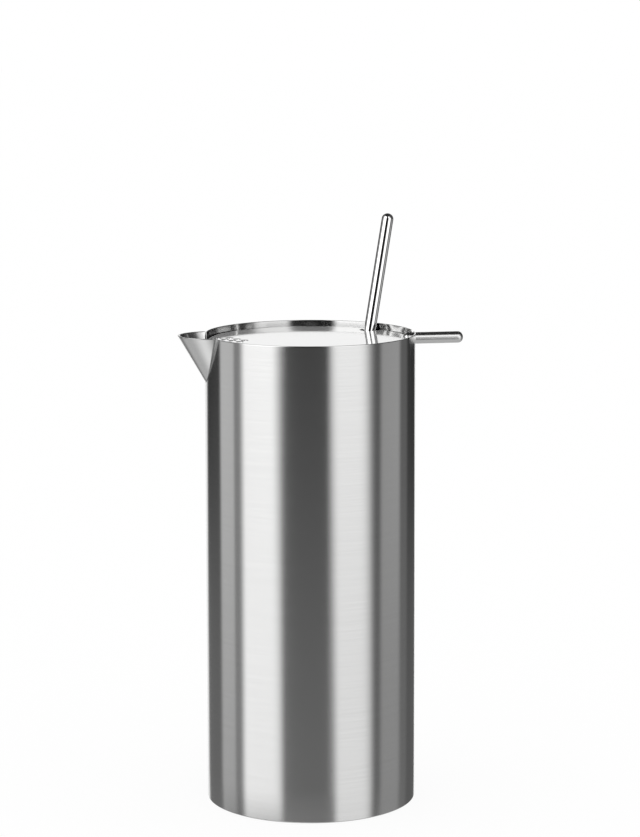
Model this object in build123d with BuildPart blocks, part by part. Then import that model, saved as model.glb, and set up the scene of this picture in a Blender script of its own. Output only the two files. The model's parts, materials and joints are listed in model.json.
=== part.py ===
from build123d import *
from math import acos, atan2, cos, degrees, hypot, radians, sin, sqrt, tan
import os

# A mixing pitcher of stainless sheet with a lift-out strainer and a long stirring spoon.
# The origin is the middle of the underside, +Z is up, the spout points along -X and the handle along +X.

# Body: a rolled tube that is closed by a welded plate
body_diameter = 87.0
body_height = 196.0
body_wall = 0.8
base_thickness = 1.5
edge_break = 0.2  # the sheet's edges are broken
foot_break = 0.5  # the outer edge that the body stands on
seam = 0.05  # what is welded together lies this close

# Spout: the part of a leaning cone that stands out of the wall, cut level with the rim
spout_reach = 11.35  # from the wall to the tip of the lip
spout_front = 30.3  # from upright to its front line
spout_taper = 15.4  # from the cone's axis to its side
spout_tip_radius = 13.8  # of the cone about its axis, at the tip
spout_wall = 0.8

# Strainer: a disc with a field of holes on the spout's side, and a skirt welded under its edge
strainer_sink = 2.5  # from the rim down to its flat top
strainer_sheet = 1.2
strainer_gap = 0.5  # to the inside of the wall
skirt_sheet = 0.8
skirt_height = 5.8
skirt_inset = 0.6  # from the disc's edge
strainer_round = 0.6  # of its upper edge
hole_diameter = 2.6
hole_pitch = 5.0
hole_rows = 5
hole_inset = 4.9  # from the strainer's edge to the first holes

# Lugs inside the wall, which carry the strainer on the spout's side
lug_width = 6.0
lug_depth = 2.6
lug_height = 4.0
lug_round = 0.8
lug_angle = 55.0  # each side of the spout
seat_gap = 0.2

# Handle: a rod that is let into the strainer and lies in a notch of the rim
handle_diameter = 4.8
handle_drop = 0.7  # from the strainer's top to the rod's axis
handle_reach = 20.9  # from the wall to its outer end
handle_lap = 3.2  # from the strainer's edge to its inner end
handle_dome = 2.1  # the height of its rounded ends
handle_gap = 0.3  # in the notch

# Spoon: a rod that leans on the rim, with a shallow bowl that stands on the base
spoon_diameter = 5.0
spoon_length = 247.8
spoon_dome = 2.4  # the height of its rounded end
spoon_turn = 40.3  # about the body, from the handle to the spoon
spoon_foot = 10.0  # how far past the middle its lower end stands
spoon_gap = 0.3  # to the rim and to the base
notch_gap = 0.9  # round the rod, in the strainer's edge
notch_ease = 0.8  # further in than the rod needs, so that it draws freely
bowl_length = 42.0
bowl_width = 24.0
bowl_sheet = 1.2
bowl_radius = 40.0  # the bowl is dished like part of a ball

# Places that follow from these sizes
outer_radius = body_diameter / 2
inner_radius = outer_radius - body_wall
rim_break = min(edge_break, 0.4 * body_wall)
lip_break = min(edge_break, 0.4 * spout_wall)

# The cone's front line comes down from the tip, and its axis leans less by the taper
spout_lean = radians(spout_front - spout_taper)
spout_slope = tan(radians(spout_taper))
spout_side = spout_tip_radius / sin(radians(spout_taper))
spout_tip = Vector(-outer_radius - spout_reach, 0, body_height)
spout_apex = spout_tip + Vector(sin(radians(spout_front)), 0, -cos(radians(spout_front))) * spout_side
spout_plane = Plane(origin=spout_apex, x_dir=(cos(spout_lean), 0, sin(spout_lean)), z_dir=(0, -1, 0))
spout_axis = Axis(spout_apex, spout_plane.y_dir)
spout_hollow = spout_wall / sin(radians(spout_taper))  # from the outer apex to the inner one
spout_length = 2 * spout_side  # well past the rim

strainer_top = body_height - strainer_sink
strainer_radius = inner_radius - strainer_gap
strainer_back = strainer_top - strainer_sheet
skirt_radius = strainer_radius - skirt_inset
skirt_top = strainer_back - seam
skirt_foot = skirt_top - skirt_height
strainer_break = min(edge_break, 0.4 * strainer_sheet)

handle_height = strainer_top - handle_drop
handle_start = strainer_radius - handle_lap
handle_end = outer_radius + handle_reach
handle_notch = handle_diameter / 2 + handle_gap

# The rod's side touches the rim, but for its gap, and its axis meets the base at the foot
spoon_rest = base_thickness + spoon_gap
spoon_run = inner_radius - spoon_gap + spoon_foot
spoon_rise = body_height - spoon_rest
spoon_radius = spoon_diameter / 2
spoon_lean = acos(spoon_radius / hypot(spoon_run, spoon_rise)) - atan2(spoon_rise, spoon_run)
spoon_bearing = radians(spoon_turn)
spoon_out = Vector(cos(spoon_bearing), sin(spoon_bearing), 0)
spoon_side = Vector(-sin(spoon_bearing), cos(spoon_bearing), 0)
spoon_origin = Vector(0, 0, spoon_rest) - spoon_out * spoon_foot
spoon_line = spoon_out * sin(spoon_lean) + Vector(0, 0, cos(spoon_lean))
spoon_plane = Plane(origin=spoon_origin, x_dir=spoon_line, z_dir=spoon_side)

# The notch goes round the rod where it passes the underside of the strainer, and a little deeper
notch_middle = (strainer_back - spoon_rest) * tan(spoon_lean) - spoon_foot - notch_ease
notch_radius = spoon_radius + notch_gap

# The bowl is part of a ball's shell, and the rod's axis meets the middle of its sheet at the upper end
bowl_half = bowl_length / 2
bowl_offset = sqrt(bowl_radius**2 - bowl_half**2) - bowl_sheet / 2
bowl_middle = bowl_half + bowl_sheet / 2 * tan(spoon_lean)
bowl_plane = Plane(origin=spoon_origin, x_dir=spoon_line, z_dir=spoon_plane.y_dir)
bowl_ball = spoon_plane.from_local_coords(Vector(bowl_middle, -bowl_offset, 0))


def spout_form(start):
    """The spout's cone from a place on its axis upwards, as a solid."""
    with BuildPart() as form:
        with BuildSketch(spout_plane):
            with BuildLine():
                mouth = (spout_length - start) * spout_slope
                Polyline((0, start), (mouth, spout_length), (0, spout_length), close=True)
            make_face()
        revolve(axis=spout_axis)
    return form.part


def handle_form(gap):
    """The handle's rod with its domed ends, grown by a gap."""
    start = handle_start - gap
    end = handle_end + gap
    dome = min(handle_dome, handle_diameter / 2) + gap
    side = handle_diameter / 2 + gap
    with BuildPart() as rod:
        with BuildSketch(Plane((0, 0, handle_height), x_dir=(1, 0, 0), z_dir=(0, -1, 0))):
            with BuildLine():
                TangentArc((start, 0), (start + dome, side), tangent=(0, 1))
                Line((start + dome, side), (end - dome, side))
                TangentArc((end, 0), (end - dome, side), tangent=(0, 1))
                Line((end, 0), (start, 0))
            make_face()
        revolve(axis=Axis((0, 0, handle_height), (1, 0, 0)))
    return rod.part


def notch_form():
    """The room for the spoon's rod at the strainer's edge, as deep as disc and skirt."""
    with BuildPart() as room:
        with BuildSketch(Plane.XY.offset(skirt_foot - seam).rotated((0, 0, spoon_turn))):
            with Locations((notch_middle, 0)):
                Circle(notch_radius)
                Rectangle(strainer_radius, 2 * notch_radius, align=(Align.MIN, Align.CENTER))
        extrude(amount=strainer_top - skirt_foot + 2 * seam)
    return room.part


def bowl_form(gap):
    """The bowl's outer form without its hollow, grown by a gap."""
    with BuildPart() as form:
        with BuildSketch(bowl_plane):
            with Locations((bowl_middle, 0)):
                Ellipse(bowl_half + gap, bowl_width / 2 + gap)
        extrude(amount=bowl_radius, both=True)
        with Locations(bowl_ball):
            Sphere(bowl_radius + gap, mode=Mode.INTERSECT)
    return form.part


# The tube is turned from its wall's section, then cut open behind the spout and notched for the handle
past_rim = body_height + body_wall
with BuildPart() as body_tube:
    with BuildSketch(Plane.XZ):
        with Locations((inner_radius, 0)):
            Rectangle(body_wall, body_height, align=(Align.MIN, Align.MIN))
        chamfer(vertices().group_by(Axis.Y)[-1], rim_break)
        foot = vertices().group_by(Axis.Y)[0].sort_by(Axis.X)[-1]
        chamfer(foot, min(foot_break, 0.8 * body_wall))
    revolve(axis=Axis.Z)
    add(spout_form(spout_hollow), mode=Mode.SUBTRACT)
    with BuildSketch(Plane.YZ.offset(inner_radius - body_wall)):
        with Locations((0, handle_height)):
            Circle(handle_notch)
            Rectangle(2 * handle_notch, past_rim - handle_height, align=(Align.CENTER, Align.MIN))
    extrude(amount=3 * body_wall, mode=Mode.SUBTRACT)

with BuildPart() as base_plate:
    with BuildSketch():
        Circle(inner_radius - seam)
    extrude(amount=base_thickness)

# The cone is hollow, and what lies above the rim or inside the body is cut away
with BuildPart() as spout:
    add(spout_form(0))
    add(spout_form(spout_hollow), mode=Mode.SUBTRACT)
    with BuildSketch(Plane.XY.offset(body_height)):
        Circle(2 * body_diameter)
    extrude(amount=2 * spout_length, mode=Mode.SUBTRACT)
    with BuildSketch():
        Circle(outer_radius + seam)
    extrude(amount=2 * body_height, mode=Mode.SUBTRACT)
    lip = faces().sort_by(Axis.Z)[-1].edges().sort_by(SortBy.LENGTH)[-2:]
    chamfer(lip, lip_break)

with BuildPart() as seat_lugs:
    with BuildSketch(Plane.XY.offset(skirt_foot - seat_gap)):
        with PolarLocations(inner_radius - lug_depth, 2, 180 - lug_angle, 2 * lug_angle, endpoint=True):
            Rectangle(2 * lug_depth, lug_width, align=(Align.MIN, Align.CENTER))
        fillet(vertices().sort_by_distance((0, 0))[:4], lug_round)
    extrude(amount=-lug_height)
    with BuildSketch():
        Circle(inner_radius - seam)
    extrude(amount=body_height, mode=Mode.INTERSECT)

# Disc and skirt are notched for the spoon and let in for the handle
handle_rod = handle_form(0)
handle_room = handle_form(seam)
spoon_room = notch_form()
with BuildPart() as strainer_disc:
    with BuildSketch(Plane.XY.offset(strainer_back)):
        Circle(strainer_radius)
    extrude(amount=strainer_sheet)
    chamfer(edges().group_by(Axis.Z)[-1], min(strainer_round, 0.6 * strainer_sheet))
    chamfer(edges().group_by(Axis.Z)[0], strainer_break)
    with BuildSketch(Plane.XY.offset(strainer_top)):
        for row in range(hole_rows):
            step = row - hole_rows // 2
            count = 2 if step else 3
            first = hole_inset - strainer_radius + (step % 2) * hole_pitch / 2
            with Locations((first, step * hole_pitch * sin(radians(60)))):
                with GridLocations(hole_pitch, hole_pitch, count, 1, align=(Align.MIN, Align.CENTER)):
                    Circle(hole_diameter / 2)
    extrude(amount=-strainer_sheet, mode=Mode.SUBTRACT)
    add(spoon_room, mode=Mode.SUBTRACT)
    add(handle_room, mode=Mode.SUBTRACT)

with BuildPart() as strainer_skirt:
    with BuildSketch(Plane.XY.offset(skirt_foot)):
        Circle(skirt_radius)
        Circle(skirt_radius - skirt_sheet, mode=Mode.SUBTRACT)
    extrude(amount=skirt_height)
    add(spoon_room, mode=Mode.SUBTRACT)
    add(handle_room, mode=Mode.SUBTRACT)

with BuildPart() as strainer_handle:
    add(handle_rod)

# The rod's lower end is shaped to the back of the bowl, where it is brazed on
bowl_room = bowl_form(seam)
with BuildPart() as spoon_rod:
    with BuildSketch(spoon_plane):
        with BuildLine():
            shoulder = spoon_length - min(spoon_dome, spoon_radius)
            TangentArc((spoon_length, 0), (shoulder, spoon_radius), tangent=(0, 1))
            Line((shoulder, spoon_radius), (bowl_middle, spoon_radius))
            Polyline((bowl_middle, spoon_radius), (bowl_middle, 0), (spoon_length, 0))
        make_face()
    revolve(axis=Axis(spoon_origin, spoon_line))
    add(bowl_room, mode=Mode.SUBTRACT)

bowl_outside = bowl_form(0)
with BuildPart() as spoon_bowl:
    add(bowl_outside)
    with Locations(bowl_ball):
        Sphere(bowl_radius - bowl_sheet, mode=Mode.SUBTRACT)

pieces = {
    "body_tube": body_tube.part,
    "base_plate": base_plate.part,
    "spout": spout.part,
    "seat_lugs": seat_lugs.part,
    "strainer_disc": strainer_disc.part,
    "strainer_skirt": strainer_skirt.part,
    "strainer_handle": strainer_handle.part,
    "spoon_rod": spoon_rod.part,
    "spoon_bowl": spoon_bowl.part,
}
os.makedirs("parts", exist_ok=True)
for name, piece in pieces.items():
    piece.label = name
    export_step(piece, f"parts/{name}.step")

print(f"spoon leans {degrees(spoon_lean):.2f} degrees, notch middle at {notch_middle:.2f}")
print(f"spoon foot {tuple(spoon_origin)}, line {tuple(spoon_line)}")
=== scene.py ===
import json

import bmesh
import bpy
import numpy as np
from mathutils import Matrix
from mathutils.geometry import delaunay_2d_cdt


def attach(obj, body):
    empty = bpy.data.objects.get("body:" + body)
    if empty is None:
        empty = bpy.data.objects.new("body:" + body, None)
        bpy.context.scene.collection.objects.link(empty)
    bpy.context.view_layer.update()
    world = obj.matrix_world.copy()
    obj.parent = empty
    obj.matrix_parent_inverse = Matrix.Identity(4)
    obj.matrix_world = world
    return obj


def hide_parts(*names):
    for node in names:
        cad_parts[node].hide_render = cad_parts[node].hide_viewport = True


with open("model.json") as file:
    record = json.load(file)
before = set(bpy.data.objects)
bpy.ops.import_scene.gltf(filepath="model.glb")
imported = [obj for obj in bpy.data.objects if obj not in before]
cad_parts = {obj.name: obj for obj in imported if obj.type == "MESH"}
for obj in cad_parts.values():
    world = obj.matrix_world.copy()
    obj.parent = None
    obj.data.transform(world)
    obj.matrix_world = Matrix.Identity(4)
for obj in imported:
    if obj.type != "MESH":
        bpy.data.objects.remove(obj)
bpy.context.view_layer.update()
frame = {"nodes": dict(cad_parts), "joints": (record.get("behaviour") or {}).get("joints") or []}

# Metres, in the frame of the solids: +Z up, the spout towards -X, the handle towards +X.
# Below these lengths two points are one, an edge is none, a height is the same and a value is nought
near = dict(points=1e-7, edge=1e-8, height=1e-6, nought=1e-9)


# Quads over a grid of points, going round where a direction closes
def gridQuads(rows, columns, rowsClose=False, columnsClose=False):
    r, c = np.meshgrid(
        np.arange(rows if rowsClose else rows - 1),
        np.arange(columns if columnsClose else columns - 1),
        indexing="ij",
    )
    nextRow, nextColumn = (r + 1) % rows, (c + 1) % columns
    corners = (
        r * columns + c,
        r * columns + nextColumn,
        nextRow * columns + nextColumn,
        nextRow * columns + c,
    )
    return np.stack(corners, -1).reshape(-1, 4)


# One closed mesh: doubles merged, faces turned outwards, smooth but for sharp corners
def makeMesh(name, points, faces, sharpAngle=40):
    mesh = bpy.data.meshes.new(name)
    mesh.from_pydata(points.reshape(-1, 3).tolist(), [], faces)
    work = bmesh.new()
    work.from_mesh(mesh)
    bmesh.ops.remove_doubles(work, verts=work.verts, dist=near["points"])
    bmesh.ops.dissolve_degenerate(work, edges=work.edges, dist=near["edge"])
    bmesh.ops.recalc_face_normals(work, faces=work.faces)
    work.to_mesh(mesh)
    work.free()
    mesh.polygons.foreach_set("use_smooth", np.ones(len(mesh.polygons), bool))
    mesh.set_sharp_from_angle(angle=np.radians(sharpAngle))
    return mesh


# A piece in the place of a node: it rides on the node's body and shows the node's finish
def addPiece(name, mesh, body, node, material):
    piece = bpy.data.objects.new(name, mesh)
    bpy.context.scene.collection.objects.link(piece)
    piece.data.materials.append(material)
    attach(piece, body)
    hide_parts(node)
    print("piece:", name, len(mesh.polygons), "faces")


# Points of an arc about a middle, from one angle to another in degrees
def arc(middleOut, middleUp, radius, start, end, steps):
    angle = np.radians(np.linspace(start, end, steps))
    return middleOut + radius * np.cos(angle), middleUp + radius * np.sin(angle)


# A profile of (out, along) turned about an axis that isn't Y's: each profile point becomes a ring
def turned(out, along, origin, axis, segments):
    axis = np.asarray(axis, float) / np.linalg.norm(axis)
    side = np.cross(axis, (0, 1, 0))
    side /= np.linalg.norm(side)
    angle = np.linspace(0, 2 * np.pi, segments, endpoint=False)
    ring = np.cos(angle)[:, None] * side + np.sin(angle)[:, None] * np.cross(axis, side)
    out, along = np.asarray(out, float), np.asarray(along, float)
    return np.asarray(origin) + out[:, None, None] * ring + along[:, None, None] * axis


# A curve that leaves one row of points for a corner and arrives at another row from it
def rounded(start, corner, end, steps):
    return [(1 - t) ** 2 * start + 2 * t * (1 - t) * corner + t**2 * end for t in np.linspace(0, 1, steps)]


# The Mix node's sockets for colours, by number
mixSockets = dict(first=6, second=7, result=2)


# A node tree's output; arithmetic on it adds Math nodes
class Wire:
    def __init__(self, tree, socket=None):
        self.tree = tree
        self.socket = socket

    def make(self, kind, settings=None, values=None, output=0):
        node = self.tree.nodes.new(kind)
        for key, value in (settings or {}).items():
            setattr(node, key, value)
        for key, value in (values or {}).items():
            if isinstance(value, Wire):
                self.tree.links.new(value.socket, node.inputs[key])
            else:
                node.inputs[key].default_value = value
        return Wire(self.tree, node.outputs[output] if node.outputs else None)

    def math(self, operation, *values):
        return self.make("ShaderNodeMath", {"operation": operation}, dict(enumerate(values)))

    def __add__(self, other):
        return self.math("ADD", self, other)

    def __radd__(self, other):
        return self.math("ADD", other, self)

    def __sub__(self, other):
        return self.math("SUBTRACT", self, other)

    def __rsub__(self, other):
        return self.math("SUBTRACT", other, self)

    def __mul__(self, other):
        return self.math("MULTIPLY", self, other)

    def __rmul__(self, other):
        return self.math("MULTIPLY", other, self)

    # the three parts of a vector
    def parts(self):
        outputs = self.make("ShaderNodeSeparateXYZ", values={"Vector": self}).socket.node.outputs
        return [Wire(self.tree, outputs[k]) for k in range(3)]

    # from one span of values to another, straight or eased
    def span(self, low, high, toLow=0.0, toHigh=1.0, eased=False):
        settings = {"interpolation_type": "SMOOTHSTEP" if eased else "LINEAR", "clamp": True}
        values = {"Value": self, "From Min": low, "From Max": high, "To Min": toLow, "To Max": toHigh}
        return self.make("ShaderNodeMapRange", settings, values)

    # from one colour to another
    def blend(self, first, second):
        settings = {"data_type": "RGBA", "clamp_factor": True}
        values = {"Factor": self, mixSockets["first"]: first, mixSockets["second"]: second}
        return self.make("ShaderNodeMix", settings, values, mixSockets["result"])


# Every grain is two layers of streaks, with the detail of each layer's noise and its share
grain = dict(long=dict(detail=4.0, share=0.6), fine=dict(detail=2.0, share=0.4), noiseRough=0.6)


# Steel with a grain: streaks of noise, long one way and fine the other, move tone and roughness
def grainedSteel(name, spec):
    material = bpy.data.materials.new(name)
    material.use_nodes = True
    tree = material.node_tree
    tree.nodes.clear()
    wire = Wire(tree)
    place = wire.make("ShaderNodeTexCoord", output="Object")
    streaks = []
    for scale, layer in ((spec["longScale"], grain["long"]), (spec["fineScale"], grain["fine"])):
        stretched = wire.make("ShaderNodeMapping", values={"Vector": place, "Scale": scale})
        noise = {"Scale": 1.0, "Detail": layer["detail"], "Roughness": grain["noiseRough"]}
        level = wire.make("ShaderNodeTexNoise", values={"Vector": stretched, **noise})
        streaks.append((level - 0.5) * layer["share"])
    streak = streaks[0] + streaks[1]
    dark, light = [
        tuple(v * spec["tone"] * (1 + s * spec["toneSwing"]) for v in spec["tint"]) + (1.0,)
        for s in (-1, 1)
    ]
    colour = (streak + 0.5).blend(dark, light)
    rough = streak * spec["roughSwing"] + spec["rough"]
    # within the tube the tone is darker: partly a duller finish, partly painted shade standing in for the
    # shade in the hollow
    if "inside" in spec:
        inside = spec["inside"]
        x, y, _ = place.parts()
        radius, border = inside["radius"], inside["border"]
        outside = wire.math("SQRT", x * x + y * y).span(radius - border, radius + border)
        dullAndShadedInside = tuple(v * inside["tone"] for v in spec["tint"]) + (1.0,)
        colour = outside.blend(dullAndShadedInside, colour)
        rough = outside * (rough - inside["rough"]) + inside["rough"]
    metal = spec["metal"]
    if "haze" in spec:
        haze = spec["haze"]
        above, border = haze["above"], haze["border"]
        _, _, z = place.parts()
        metal = z.span(above - border, above + border, metal, haze["metal"])
    relief = {"Height": streak, "Strength": 1.0, "Distance": spec["grainDepth"]}
    bump = wire.make("ShaderNodeBump", values=relief)
    steel = wire.make(
        "ShaderNodeBsdfPrincipled",
        values={
            "Base Color": colour,
            "Metallic": metal,
            "Roughness": rough,
            "Anisotropic": spec["stretch"],
            "Anisotropic Rotation": spec["turn"],
            "Normal": bump,
        },
    )
    wire.make("ShaderNodeOutputMaterial", values={"Surface": steel})
    return material


# The finishes; the scales say how many streaks lie in a metre each way
brushed = dict(
    tint=(1.0, 1.0, 0.995),
    tone=0.78,
    toneSwing=0.09,
    metal=1.0,
    rough=0.18,
    roughSwing=0.03,
    stretch=0.9,
    turn=0.25,  # the gloss spreads across the grain, which runs round the body
    longScale=(16.0, 16.0, 1900.0),
    fineScale=(90.0, 90.0, 5200.0),
    grainDepth=4e-7,
)
# smoother within, and darker within: the lower tone is partly a duller inner finish and partly painted shade
# in the hollow of the tube
rolled = dict(brushed, inside=dict(radius=0.0431, border=0.0001, tone=0.54, rough=0.13))
folded = dict(brushed, rough=0.2, stretch=0.0, grainDepth=2e-7)
bright = dict(
    brushed,
    tone=0.86,
    toneSwing=0.04,
    # a fine haze lies over the mirror of the disc's flat face
    haze=dict(above=0.19345, border=0.00003, metal=0.62),
    rough=0.08,
    roughSwing=0.03,
    stretch=0.0,
    longScale=(40.0, 900.0, 40.0),
    fineScale=(90.0, 2600.0, 90.0),
    grainDepth=2e-7,
)
satin = dict(
    brushed,
    rough=0.22,
    stretch=0.0,
    longScale=(60.0, 1500.0, 1500.0),
    fineScale=(200.0, 5000.0, 5000.0),
    grainDepth=1e-6,
)
polished = dict(
    brushed,
    tone=0.92,
    toneSwing=0.04,
    rough=0.07,
    roughSwing=0.03,
    stretch=0.0,
    longScale=(400.0, 400.0, 400.0),
    fineScale=(1500.0, 1500.0, 1500.0),
    grainDepth=2e-7,
)

brushedSteel = grainedSteel("brushedSteel", brushed)
rolledSteel = grainedSteel("rolledSteel", rolled)
foldedSteel = grainedSteel("foldedSteel", folded)
brightSteel = grainedSteel("brightSteel", bright)
satinSteel = grainedSteel("satinSteel", satin)
polishedSteel = grainedSteel("polishedSteel", polished)
print("steels: 6")

tube = dict(
    radius=0.0435,
    height=0.196,
    wall=0.0008,
    rimRound=0.0002,
    cutRound=0.00003,  # the cuts keep almost sharp edges
    flare=0.0003,
    flareDrop=0.0035,
    flareGap=0.0005,
    footRound=0.0005,
    plainTop=0.172,  # rows of points are level up to here and follow the cuts above it
    columns=480,
    rows=14,
    crowding=1.6,
    footSteps=7,
    rimSteps=6,
    flareSteps=6,
)
spout = dict(
    reach=0.01135,
    front=30.3,
    taper=15.4,
    tipRadius=0.0138,
    wall=0.0008,
    lipRound=0.0003,
    lowLip=0.002,  # where the spout is lower than this, its lip is less round
    leastRound=0.02,
    bead=0.00025,
    beadShare=0.3,
    beadLift=0.00002,
    fillet=0.0006,
    filletShare=0.4,
    cutReach=0.0006,
    cutLift=0.00003,
    cutCosine=-0.8,  # the cone cuts the wall only on the spout's side
    wallTurn=22,
    wallStep=0.25,
    columns=121,
    samples=20001,
    beadSteps=7,
    sideSteps=18,
    lipSteps=6,
    filletSteps=8,
)
handle = dict(
    radius=0.0024,
    start=0.0390,
    end=0.0644,
    height=0.1928,
    dome=0.0021,
    notch=0.0027,
    notchTurn=89.9,
    notchColumns=31,
    besideNotch=1.001,
    clearOfNotch=1.05,
    segments=96,
)

# The spout's cone leans: its front line comes down from the tip, its axis leans less by the taper
spoutFront, spoutTaper = np.radians(spout["front"]), np.radians(spout["taper"])
spoutLean = spoutFront - spoutTaper
spoutAxis = np.array([-np.sin(spoutLean), 0, np.cos(spoutLean)])
spoutAcross = np.array([-np.cos(spoutLean), 0, -np.sin(spoutLean)])
spoutTip = np.array([-tube["radius"] - spout["reach"], 0, tube["height"]])
spoutDown = np.array([np.sin(spoutFront), 0, -np.cos(spoutFront)])
spoutApex = spoutTip + spoutDown * spout["tipRadius"] / np.sin(spoutTaper)
spoutInnerApex = spoutApex + spoutAxis * spout["wall"] / np.sin(spoutTaper)


# Height of the wall's upper edge: the rim, or where an upright line enters the spout's hollow cone
# or the round of the handle's notch
def rimHeight(angle, radius):
    dx = radius * np.cos(angle) - spoutInnerApex[0]
    dy = radius * np.sin(angle)
    spread = np.cos(spoutTaper) ** 2
    a = spoutAxis[2] ** 2 - spread
    b = spoutAxis[0] * spoutAxis[2] * dx
    c = spoutAxis[0] ** 2 * dx**2 - spread * (dx**2 + dy**2)
    root = b + np.sqrt(np.maximum(b**2 - a * c, 0))
    cone = spoutInnerApex[2] - c / np.maximum(root, near["nought"])
    across = tube["radius"] * np.sin(angle)
    inNotch = (np.abs(across) < handle["notch"]) & (np.cos(angle) > 0)
    notch = handle["height"] - np.sqrt(np.maximum(handle["notch"] ** 2 - across**2, 0))
    notch = np.where(inNotch, notch, tube["height"])
    cone = np.where(np.cos(angle) < spout["cutCosine"], cone, tube["height"])
    return np.minimum(np.minimum(cone, tube["height"]), notch)


# The body: the wall's section carried round, lowered where the spout and the notch are cut
def tubeMesh():
    # columns of points: even ones, closer ones at the spout, and those of the notch and its sides
    notchAngle = np.arcsin(handle["notch"] / tube["radius"])
    notchTurn = np.radians(np.linspace(-handle["notchTurn"], handle["notchTurn"], handle["notchColumns"]))
    roundNotch = np.arcsin(np.sin(notchTurn) * np.sin(notchAngle))
    notchSides = np.array([-1, 1]) * notchAngle * handle["besideNotch"]
    wallTurn, wallStep = spout["wallTurn"], spout["wallStep"]
    nearSpout = np.pi + np.radians(np.arange(-wallTurn, wallTurn + wallStep / 2, wallStep))
    even = np.linspace(0, 2 * np.pi, tube["columns"], endpoint=False)
    clear = np.abs(np.sin(even)) * tube["radius"] > handle["clearOfNotch"] * handle["notch"]
    even = even[clear | (np.cos(even) < 0)]
    angle = np.concatenate([even, nearSpout, roundNotch % (2 * np.pi), notchSides % (2 * np.pi)])
    angle = np.unique(np.round(angle, 9))
    level = 0 * angle
    outside, inside = tube["radius"], tube["radius"] - tube["wall"]
    top = rimHeight(angle, outside)  # the cuts go square through the wall
    roundOff = np.where(top > tube["height"] - near["height"], tube["rimRound"], tube["cutRound"])

    # the inside opens a little towards the rim
    def flared(up):
        return tube["flare"] * np.clip((up - tube["height"]) / tube["flareDrop"] + 1, 0, 1)

    # rows: up the outside from the foot, over the rim and down the inside
    footRound, plainTop = tube["footRound"], tube["plainTop"]
    ease = 1 - (1 - np.linspace(0, 1, tube["rows"])) ** tube["crowding"]
    flat = np.linspace(footRound, plainTop, tube["rows"])
    footOut, footUp = arc(outside - footRound, footRound, footRound, -90, 0, tube["footSteps"])
    rows = [(o + level, u + level) for o, u in zip(footOut, footUp)]
    rows += [(outside + level, u + level) for u in flat[1:]]
    rows += [(outside + level, plainTop + e * (top - roundOff - plainTop)) for e in ease[1:]]
    for turn in np.radians(np.linspace(0, 90, tube["rimSteps"])[1:]):
        rows.append((outside - roundOff * (1 - np.cos(turn)), top - roundOff * (1 - np.sin(turn))))
    mouth = inside + flared(top)
    for turn in np.radians(np.linspace(90, 180, tube["rimSteps"])):
        rows.append((mouth + roundOff * (1 + np.cos(turn)), top - roundOff * (1 - np.sin(turn))))
    rimFoot = top - roundOff
    flareFoot = np.minimum(tube["height"] - tube["flareDrop"], rimFoot - tube["flareGap"])
    innerRows = [rimFoot + t * (flareFoot - rimFoot) for t in np.linspace(0, 1, tube["flareSteps"])[1:]]
    innerRows += [plainTop + e * (flareFoot - plainTop) for e in ease[::-1][1:]]
    rows += [(inside + flared(up), up) for up in innerRows]
    rows += [(inside + level, u + level) for u in flat[::-1][1:]]
    rows.append((inside + level, level))
    out, up = (np.array(v) for v in zip(*rows))
    points = np.stack([out * np.cos(angle), out * np.sin(angle), up], -1)
    faces = gridQuads(*out.shape, rowsClose=True, columnsClose=True)
    return makeMesh("bodyTube", points, faces.tolist())


addPiece("bodyTube", tubeMesh(), "pitcher", "body_tube", rolledSteel)


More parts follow.
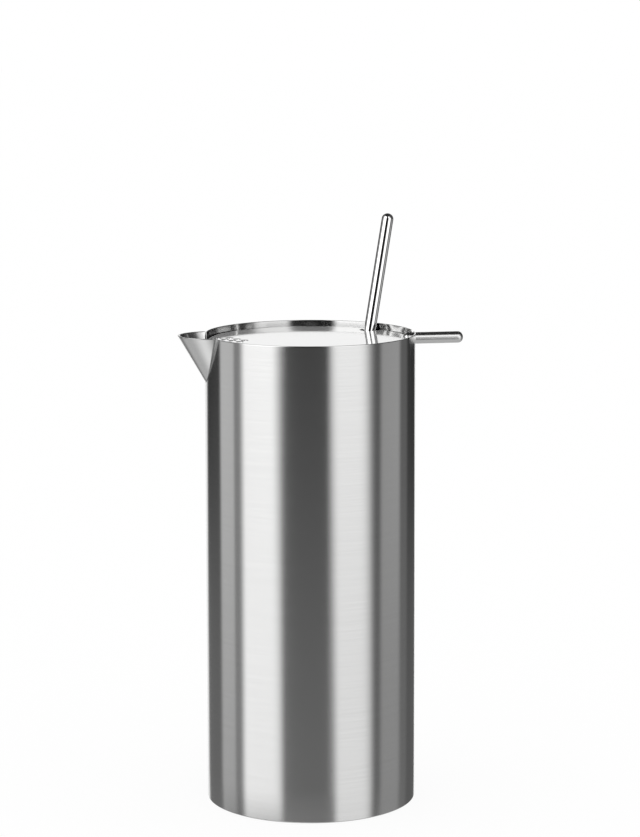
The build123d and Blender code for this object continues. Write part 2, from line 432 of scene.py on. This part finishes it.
# The spout: on each line of the cone a loop goes up the outside, over the lip and down the inside
def spoutMesh():
    # lines of the cone by their turn about the axis, and how far along them the wall and the lip lie
    def coneLine(turn):
        out = np.cos(turn)[:, None] * spoutAcross + np.sin(turn)[:, None] * np.array([0, 1, 0])
        return np.cos(spoutTaper) * spoutAxis + np.sin(spoutTaper) * out

    def wallReach(apex, line):
        a = line[:, 0] ** 2 + line[:, 1] ** 2
        b = line[:, :2] @ apex[:2]
        return (-b + np.sqrt(b**2 - a * (apex[:2] @ apex[:2] - tube["radius"] ** 2))) / a

    def lipReach(apex, line):
        return (tube["height"] - apex[2]) / line[:, 2]

    across = np.linspace(-1, 1, spout["columns"])
    sides = []
    for apex in (spoutApex, spoutInnerApex):
        turn = np.linspace(0, np.pi, spout["samples"])
        inFront = wallReach(apex, coneLine(turn)) < lipReach(apex, coneLine(turn))
        line = coneLine(across * turn[inFront].max())
        sides.append((apex, line, wallReach(apex, line)[:, None], lipReach(apex, line)[:, None]))
    (apexOut, lineOut, footOut, lipOut), (apexIn, lineIn, footIn, lipIn) = sides
    height = lipOut - footOut

    # the weld's bead leaves the wall a little way from the joint and comes to the cone beyond it
    joint = apexOut + footOut * lineOut
    along = np.gradient(joint, axis=0)
    along /= np.linalg.norm(along, axis=1)[:, None]
    wallNormal = joint * (1, 1, 0)
    wallNormal /= np.linalg.norm(wallNormal, axis=1)[:, None]
    away = np.cross(along, wallNormal)
    fromMiddle = joint - (-tube["radius"], 0, tube["height"])
    away *= np.sign((away * fromMiddle).sum(1))[:, None]
    bead = np.minimum(spout["bead"], spout["beadShare"] * height)
    beadFoot = joint + away * bead
    beadFoot[:, 2] = np.minimum(beadFoot[:, 2], tube["height"])
    beadRadius = tube["radius"] + spout["beadLift"]
    beadFoot[:, :2] *= beadRadius / np.linalg.norm(beadFoot[:, :2], axis=1)[:, None]
    rows = rounded(beadFoot, joint, apexOut + (footOut + bead) * lineOut, spout["beadSteps"])

    lipRound = spout["lipRound"] * np.clip(height / spout["lowLip"], spout["leastRound"], 1)
    steps = np.linspace(0, 1, spout["sideSteps"])[1:]
    rows += [apexOut + (footOut + bead + t * (height - bead - lipRound)) * lineOut for t in steps]
    edgeOut, edgeIn = apexOut + lipOut * lineOut, apexIn + lipIn * lineIn
    inward = (edgeIn - edgeOut) / np.linalg.norm(edgeIn - edgeOut, axis=1)[:, None]
    rows += rounded(rows[-1], edgeOut, edgeOut + inward * lipRound, spout["lipSteps"])[1:]
    innerTop = lipIn - lipRound
    rows += rounded(edgeIn - inward * lipRound, edgeIn, apexIn + innerTop * lineIn, spout["lipSteps"])
    # within, a fillet turns from the cone onto the cut through the wall
    jointIn = apexIn + footIn * lineIn
    fillet = np.minimum(spout["fillet"], spout["filletShare"] * (lipIn - footIn))
    rows += [apexIn + (innerTop - t * (innerTop - footIn - fillet)) * lineIn for t in steps]
    intoWall = -jointIn * (1, 1, 0) / np.linalg.norm(jointIn[:, :2], axis=1)[:, None]
    onCut = jointIn + intoWall * np.minimum(spout["cutReach"], fillet) - away * spout["cutLift"]
    rows += rounded(rows[-1], jointIn, onCut, spout["filletSteps"])[1:]
    points = np.stack(rows)
    loop, columns = points.shape[:2]
    ends = np.arange(loop) * columns
    faces = gridQuads(loop, columns, rowsClose=True).tolist()
    faces += [ends.tolist(), (ends + columns - 1)[::-1].tolist()]
    return makeMesh("spoutCone", points, faces)


addPiece("spoutCone", spoutMesh(), "pitcher", "spout", foldedSteel)

# The base: a plate turned with a rounded edge
base = dict(radius=0.04265, thickness=0.0015, edgeRound=0.0003, edgeSteps=6, rings=12, segments=360)


def baseMesh():
    edge = base["edgeRound"]
    side = base["radius"] - edge
    low = arc(side, edge, edge, -90, 0, base["edgeSteps"])
    high = arc(side, base["thickness"] - edge, edge, 0, 90, base["edgeSteps"])
    inner = np.linspace(0, side - edge, base["rings"])
    out = np.concatenate([inner, low[0], high[0], inner[::-1]])
    up = np.concatenate([0 * inner, low[1], high[1], 0 * inner + base["thickness"]])
    points = turned(out, up, (0, 0, 0), (0, 0, 1), base["segments"])
    return makeMesh("basePlate", points, gridQuads(*points.shape[:2], columnsClose=True).tolist())


addPiece("basePlate", baseMesh(), "pitcher", "base_plate", brushedSteel)

# The strainer's disc: a flat outline with holes; each loop of the outline is carried over a rounded edge
disc = dict(
    top=0.1935,
    sheet=0.0012,
    radius=0.0422,
    edgeRound=0.0009,
    backRound=0.00015,
    border=0.00012,
    holeRadius=0.0013,
    holeRound=0.0005,
    holePitch=0.005,
    holeInset=0.0049,
    holeRows=5,
    rowHoles=2,
    middleHoles=3,
    rimColumns=560,
    holeColumns=40,
    roundSteps=7,
)
spoon = dict(
    radius=0.0025,
    length=0.2478,
    turn=40.3,
    foot=0.010,
    rest=0.0018,
    rodStart=0.0395,
    startDome=0.0008,
    dome=0.0024,
    notchRadius=0.0034,
    notchMiddle=0.03807,
    notchSteps=41,
    mouthRound=0.0013,
    mouthSteps=9,
    segments=96,
)
spoonTurn = np.radians(spoon["turn"])


# Loops of the disc: points, the way into the sheet at each, and the round of the upper edge
def discLoops():
    # the rim runs round from one side of the spoon's notch to the other, with its mouth rounded
    half, mouth = spoon["notchRadius"], spoon["mouthRound"]
    ring = disc["radius"] - mouth
    mouthAngle = np.arcsin((half + mouth) / ring)
    rim = np.linspace(mouthAngle, 2 * np.pi - mouthAngle, disc["rimColumns"])
    rimIn = -np.stack([np.cos(rim), np.sin(rim)], -1)
    corner = np.linspace(-mouthAngle, np.pi / 2, spoon["mouthSteps"])[1:]
    cornerIn = -np.stack([np.cos(corner), np.sin(corner)], -1)
    cornerPoints = ring * np.array([np.cos(mouthAngle), -np.sin(mouthAngle)]) - mouth * cornerIn
    notch = np.radians(np.linspace(270, 90, spoon["notchSteps"]))
    notchIn = np.stack([np.cos(notch), np.sin(notch)], -1)
    notchPoints = half * notchIn + (spoon["notchMiddle"], 0)
    flip = np.array([1, -1])
    otherPoints, otherIn = (cornerPoints * flip)[::-1], (cornerIn * flip)[::-1]
    points = np.concatenate([-disc["radius"] * rimIn, cornerPoints, notchPoints, otherPoints])
    inward = np.concatenate([rimIn, cornerIn, notchIn, otherIn])
    spin = np.array([[np.cos(spoonTurn), np.sin(spoonTurn)], [-np.sin(spoonTurn), np.cos(spoonTurn)]])
    loops = [(points @ spin, inward @ spin, disc["edgeRound"])]
    # the holes stand in triangles: rows of two, with three in the middle row
    circle = np.linspace(0, 2 * np.pi, disc["holeColumns"], endpoint=False)
    unit = np.stack([np.cos(circle), np.sin(circle)], -1)
    rowPitch = disc["holePitch"] * np.sqrt(3) / 2
    for row in range(disc["holeRows"]):
        step = row - disc["holeRows"] // 2
        first = disc["holeInset"] - disc["radius"] + (step % 2) * disc["holePitch"] / 2
        for k in range(disc["rowHoles"] if step else disc["middleHoles"]):
            middle = np.array([first + k * disc["holePitch"], step * rowPitch])
            loops.append((middle + disc["holeRadius"] * unit, unit, disc["holeRound"]))
    return loops


# Each loop goes over the round of the upper edge and down to that of the back
def discMesh():
    points, faces, count = [], [], 0
    topLoops, backLoops = [], []
    turn = np.radians(np.linspace(0, 90, disc["roundSteps"]))
    for loop, inward, roundOff in discLoops():
        inset = [
            [roundOff + disc["border"]],
            roundOff * (1 - np.sin(turn)),
            disc["backRound"] * (1 - np.sin(turn))[::-1],
            [disc["backRound"] + disc["border"]],
        ]
        drop = [
            [0],
            roundOff * (1 - np.cos(turn)),
            disc["sheet"] - disc["backRound"] * (1 - np.cos(turn))[::-1],
            [disc["sheet"]],
        ]
        inset, drop = np.concatenate(inset), np.concatenate(drop)
        flat = loop + inset[:, None, None] * inward
        height = np.broadcast_to((disc["top"] - drop)[:, None, None], flat.shape[:2] + (1,))
        points.append(np.concatenate([flat, height], -1).reshape(-1, 3))
        size = len(loop)
        faces += (gridQuads(len(inset), size, columnsClose=True) + count).tolist()
        topLoops.append(np.arange(size) + count)
        backLoops.append(np.arange(size) + count + (len(inset) - 1) * size)
        count += len(inset) * size
    points = np.concatenate(points)
    holeMiddles = np.array([points[loop, :2].mean(0) for loop in topLoops[1:]])
    # the flat faces: triangles between the loops, without those that lie in a hole
    withinRim = 1
    for loops in (topLoops, backLoops):
        index = np.concatenate(loops)
        edges, first = [], 0
        for size in map(len, loops):
            edges += [(first + k, first + (k + 1) % size) for k in range(size)]
            first += size
        result = delaunay_2d_cdt([tuple(p) for p in points[index, :2]], edges, [], withinRim, near["nought"])
        corners = np.array([tuple(v) for v in result[0]])
        triangles, origin = np.array(result[2]), result[3]
        middle = corners[triangles].mean(1)
        mouth = np.linalg.norm(points[loops[1], :2] - holeMiddles[0], axis=1).max()
        inHole = (np.linalg.norm(middle[:, None] - holeMiddles, axis=2) < mouth).any(1)
        back = np.array([index[o[0]] for o in origin])
        faces += back[triangles[~inHole]].tolist()
    return makeMesh("strainerDisc", points, faces, sharpAngle=30)


addPiece("strainerDisc", discMesh(), "strainer", "strainer_disc", brightSteel)

# The skirt: a strip's section carried round from one side of the notch to the other, with closed ends
skirt = dict(
    radius=0.0416,
    sheet=0.0008,
    top=0.19225,
    height=0.0058,
    edgeRound=0.0002,
    edgeSteps=4,
    columns=361,
)


def skirtMesh():
    half = np.arcsin(spoon["notchRadius"] / skirt["radius"])
    angle = np.linspace(half, 2 * np.pi - half, skirt["columns"]) + spoonTurn
    r = skirt["edgeRound"]
    outside, inside = skirt["radius"] - r, skirt["radius"] - skirt["sheet"] + r
    high, low = skirt["top"] - r, skirt["top"] - skirt["height"] + r
    corners = [(outside, low, -90), (outside, high, 0), (inside, high, 90), (inside, low, 180)]
    out, up = np.concatenate([arc(o, u, r, a, a + 90, skirt["edgeSteps"]) for o, u, a in corners], 1)
    out, up = out[:, None], up[:, None]
    points = np.stack([out * np.cos(angle), out * np.sin(angle), up + 0 * angle], -1)
    rows, columns = points.shape[:2]
    ends = np.arange(rows) * columns
    faces = gridQuads(rows, columns, rowsClose=True).tolist()
    faces += [ends.tolist(), (ends + columns - 1)[::-1].tolist()]
    return makeMesh("strainerSkirt", points, faces)


addPiece("strainerSkirt", skirtMesh(), "strainer", "strainer_skirt", brightSteel)

rodRings = dict(dome=14, body=30)


# A rod: a turned profile with a dome at each end
def rodMesh(name, radius, length, startDome, endDome, origin, axis, segments):
    turn = np.radians(np.linspace(0, 90, rodRings["dome"]))
    body = np.linspace(startDome, length - endDome, rodRings["body"])[1:-1]
    out = np.concatenate([radius * np.sin(turn), radius + 0 * body, radius * np.sin(turn)[::-1]])
    drop = 1 - np.cos(turn)
    along = np.concatenate([startDome * drop, body, length - endDome * drop[::-1]])
    points = turned(out, along, origin, axis, segments)
    return makeMesh(name, points, gridQuads(*points.shape[:2], columnsClose=True).tolist())


handleMesh = rodMesh(
    "strainerHandle",
    handle["radius"],
    handle["end"] - handle["start"],
    handle["dome"],
    handle["dome"],
    (handle["start"], 0, handle["height"]),
    (1, 0, 0),
    handle["segments"],
)
addPiece("strainerHandle", handleMesh, "strainer", "strainer_handle", satinSteel)

# The spoon's line leans from its foot on the base out to the rim
spoonLine = np.array(next(j["axis"] for j in frame["joints"] if j["name"] == "spoon_lift"), float)
spoonAside = np.array([np.cos(spoonTurn), np.sin(spoonTurn), 0])
spoonFoot = np.array([0, 0, spoon["rest"]]) - spoon["foot"] * spoonAside
spoonMesh = rodMesh(
    "spoonRod",
    spoon["radius"],
    spoon["length"] - spoon["rodStart"],
    spoon["startDome"],
    spoon["dome"],
    spoonFoot + spoon["rodStart"] * spoonLine,
    spoonLine,
    spoon["segments"],
)
addPiece("spoonRod", spoonMesh, "spoon", "spoon_rod", polishedSteel)

# The bowl: an oval part of a ball's shell, out along its back, over a round edge and in along its hollow
bowl = dict(
    length=0.042,
    width=0.024,
    sheet=0.0012,
    ball=0.040,
    edge=0.0004,
    rings=24,
    crowding=1.5,
    edgeSteps=7,
    segments=160,
)


def bowlMesh():
    side = np.array([-np.sin(spoonTurn), np.cos(spoonTurn), 0])
    back = np.cross(side, spoonLine)
    half = bowl["length"] / 2
    middle = half + bowl["sheet"] / 2 * np.tan(np.arccos(spoonLine[2]))
    offset = np.sqrt(bowl["ball"] ** 2 - half**2) - bowl["sheet"] / 2
    turn = np.linspace(0, 2 * np.pi, bowl["segments"], endpoint=False)
    rim = bowl["edge"] / half
    share = (1 - (1 - np.linspace(0, 1, bowl["rings"])) ** bowl["crowding"]) * (1 - rim)
    edge = np.radians(np.linspace(0, 180, bowl["edgeSteps"]))[1:-1]
    shares = np.concatenate([share, 1 - rim * (1 - np.sin(edge)), share[::-1]])
    depth = np.concatenate([0 * share, (1 - np.cos(edge)) / 2, 0 * share + 1])
    x = half * shares[:, None] * np.cos(turn)
    z = bowl["width"] / 2 * shares[:, None] * np.sin(turn)
    y = np.sqrt((bowl["ball"] - depth[:, None] * bowl["sheet"]) ** 2 - x**2 - z**2) - offset
    points = spoonFoot + (middle + x)[..., None] * spoonLine + y[..., None] * back + z[..., None] * side
    return makeMesh("spoonBowl", points, gridQuads(*points.shape[:2], columnsClose=True).tolist())


addPiece("spoonBowl", bowlMesh(), "spoon", "spoon_bowl", polishedSteel)

# The lugs keep their solids
lugs = frame["nodes"]["seat_lugs"].data
for slot in range(len(lugs.materials)):
    lugs.materials[slot] = brushedSteel

# The camera stands in front and a little to the spout's side, and looks down on the rim; turns in degrees
view = dict(
    distance=1.1452,
    height=0.3416,
    side=9.5,
    pitch=9.0,
    yaw=0.2026,
    roll=-0.097,
    lens=120.5,
    sensor=36.0,
    nearest=0.01,
    farthest=100.0,
)


def addCamera():
    pitch, yaw, roll, side = (np.radians(view[k]) for k in ("pitch", "yaw", "roll", "side"))
    ahead = np.array([np.sin(yaw) * np.cos(pitch), np.cos(yaw) * np.cos(pitch), -np.sin(pitch)])
    right = np.array([np.cos(yaw), -np.sin(yaw), 0])
    up = np.cross(right, ahead)
    right, up = np.cos(roll) * right + np.sin(roll) * up, np.cos(roll) * up - np.sin(roll) * right
    spin = np.array([[np.cos(side), np.sin(side), 0], [-np.sin(side), np.cos(side), 0], [0, 0, 1]])
    matrix = np.eye(4)
    matrix[:3, :3] = spin @ np.stack([right, up, -ahead], 1)
    matrix[:3, 3] = spin @ np.array([0, -view["distance"], view["height"]])
    data = bpy.data.cameras.new("camera")
    data.lens = view["lens"]
    data.sensor_width = view["sensor"]
    data.clip_start = view["nearest"]
    data.clip_end = view["farthest"]
    camera = bpy.data.objects.new("camera", data)
    bpy.context.scene.collection.objects.link(camera)
    camera.matrix_world = Matrix(matrix.tolist())
    bpy.context.scene.camera = camera


addCamera()
print("camera:", view["lens"], "mm lens")

# The studio: panels round the object by their bearing from the camera, left is negative, in degrees.
# Each begins where the last one ends. Where its edge leans, starts says the bearings from low to high,
# and leanRises says between which rises it goes from one to the next. Its strength goes from low to
# high over lowRises; it may fall off at its foot and change towards its top
studio = dict(
    panels=[
        dict(starts=[-157, -153, -166], soft=6, low=0.17, high=0.03),
        dict(starts=[-115.5], soft=3, low=0.42, high=0.65, top=0.3, foot=0.06),
        dict(starts=[-91.5], soft=2, low=0.24, high=0.24, foot=0.1),
        dict(starts=[-79.5], soft=5, low=1.13, high=0.95, top=1.9, foot=0.06),
        dict(starts=[-32, -39.5, -28, -22], soft=5, low=0.19, high=0.002, top=0.013),
        dict(starts=[28, 20, 23.5, 14], soft=5, low=0.81, high=0.99, top=1.4),
        dict(starts=[73, 65, 67, 33], soft=5, low=0.14, high=0.8),
        dict(starts=[73, 65, 67, 59], soft=12, low=0.15, high=0.08),
        dict(starts=[83], soft=4, low=0.28, high=0.43, top=0.06),
        dict(starts=[115, 115, 114, 112], soft=4, low=0.17, high=0.12, top=0.08),
        dict(starts=[132, 132, 131, 128], soft=4, low=0.12, high=0.03),
        dict(starts=[168, 163, 166], soft=4, low=0.96, high=0.96),
    ],
    leanRises=[(-13, -8), (-6, 3), (17, 28)],
    footRises=(-27, -21),
    lowRises=(-12.8, -9.8),
    topRises=(-6, 3),
    behind=dict(strength=0.96, bearing=166, soft=4, top=13, topSoft=1),
    ceiling=dict(strength=0.03, rise=53, soft=4),
    ground=dict(
        strength=0.5,
        bright=0.92,
        bearing=-28,
        spread=65,
        rises=(-40, -30),  # its edge in front and behind
        sides=(60, 120),
        soft=6,
    ),
)


def addWorld():
    world = bpy.data.worlds.new("studio")
    bpy.context.scene.world = world
    world.use_nodes = True
    tree = world.node_tree
    tree.nodes.clear()
    wire = Wire(tree)
    direction = wire.make("ShaderNodeTexCoord", output="Generated")
    facing = wire.make(
        "ShaderNodeVectorRotate",
        {"rotation_type": "Z_AXIS"},
        {"Vector": direction, "Angle": float(np.radians(view["side"]))},
    )
    x, y, z = facing.parts()
    bearing = wire.math("ARCTAN2", x, y * -1.0) * float(np.degrees(1))
    rise = wire.math("ARCSINE", z) * float(np.degrees(1))
    behind, ceiling, ground = studio["behind"], studio["ceiling"], studio["ground"]
    light = behind["strength"]
    for panel in studio["panels"]:
        strength = rise.span(*studio["lowRises"], panel["low"], panel["high"])
        if "foot" in panel:
            strength = strength * rise.span(*studio["footRises"], panel["foot"], 1.0)
        if "top" in panel:
            strength = strength * rise.span(*studio["topRises"], 1.0, panel["top"] / panel["high"])
        starts = panel["starts"]
        start = starts[0]
        for rises, below, above in zip(studio["leanRises"], starts, starts[1:]):
            start = rise.span(*rises, 0.0, above - below) + start
        share = bearing.span(start - panel["soft"], start + panel["soft"], eased=True)
        light = light + (strength - light) * share
    # the ceiling is dark, down to the top of the white behind
    aside = wire.math("ABSOLUTE", bearing)
    back = aside.span(behind["bearing"] - behind["soft"], behind["bearing"] + behind["soft"], eased=True)
    high = rise.span(behind["top"] - behind["topSoft"], behind["top"] + behind["topSoft"], eased=True)
    light = light + (ceiling["strength"] - light) * back * high
    overhead = rise.span(ceiling["rise"] - ceiling["soft"], ceiling["rise"] + ceiling["soft"], eased=True)
    light = light + (ceiling["strength"] - light) * overhead
    # the ground is brightest at one bearing
    pool = wire.math("ABSOLUTE", bearing - ground["bearing"]).span(0, ground["spread"], eased=True)
    edge = aside.span(*ground["sides"], *ground["rises"])
    underfoot = rise.span(edge - ground["soft"], edge + ground["soft"], 1.0, 0.0, eased=True)
    floorLight = pool * (ground["strength"] - ground["bright"]) + ground["bright"]
    light = light + (floorLight - light) * underfoot
    # the camera and the matt floor see plain white
    path = wire.make("ShaderNodeLightPath").socket.node.outputs
    white = wire.math("MAXIMUM", Wire(tree, path["Is Camera Ray"]), Wire(tree, path["Is Diffuse Ray"]))
    strength = light + (1 - light) * white
    glow = {"Color": (1.0, 1.0, 1.0, 1.0), "Strength": strength}
    background = wire.make("ShaderNodeBackground", values=glow)
    wire.make("ShaderNodeOutputWorld", values={"Surface": background})
    world.cycles.sampling_method = "NONE"


addWorld()
print("studio:", len(studio["panels"]), "panels")

# The floor: a wide pale disc just under the foot, which keeps a faint shadow
floorSpec = dict(radius=9.0, drop=0.00005, tone=0.99, glow=0.9, firstRing=0.05, rings=24, segments=96)


def addFloor():
    rings = np.geomspace(floorSpec["firstRing"], floorSpec["radius"], floorSpec["rings"])
    out = np.concatenate([[0], rings])
    points = turned(out, 0 * out - floorSpec["drop"], (0, 0, 0), (0, 0, 1), floorSpec["segments"])
    mesh = makeMesh("floor", points, gridQuads(*points.shape[:2], columnsClose=True).tolist())
    floor = bpy.data.objects.new("floor", mesh)
    bpy.context.scene.collection.objects.link(floor)
    material = bpy.data.materials.new("paleFloor")
    material.use_nodes = True
    material.node_tree.nodes.clear()
    wire = Wire(material.node_tree)
    tone = floorSpec["tone"]
    matt = wire.make("ShaderNodeBsdfDiffuse", values={"Color": (tone, tone, tone, 1.0)})
    glow = wire.make("ShaderNodeEmission", values={"Color": (1.0, 1.0, 1.0, 1.0), "Strength": 1.0})
    seen = wire.make("ShaderNodeLightPath", output="Is Camera Ray") * floorSpec["glow"]
    mixed = wire.make("ShaderNodeMixShader", values={0: seen, 1: matt, 2: glow})
    wire.make("ShaderNodeOutputMaterial", values={"Surface": mixed})
    mesh.materials.append(material)
    floor.visible_glossy = False


addFloor()
print("floor:", floorSpec["radius"], "m wide each way")

bpy.context.scene.view_settings.view_transform = "Standard"
bpy.context.view_layer.update()
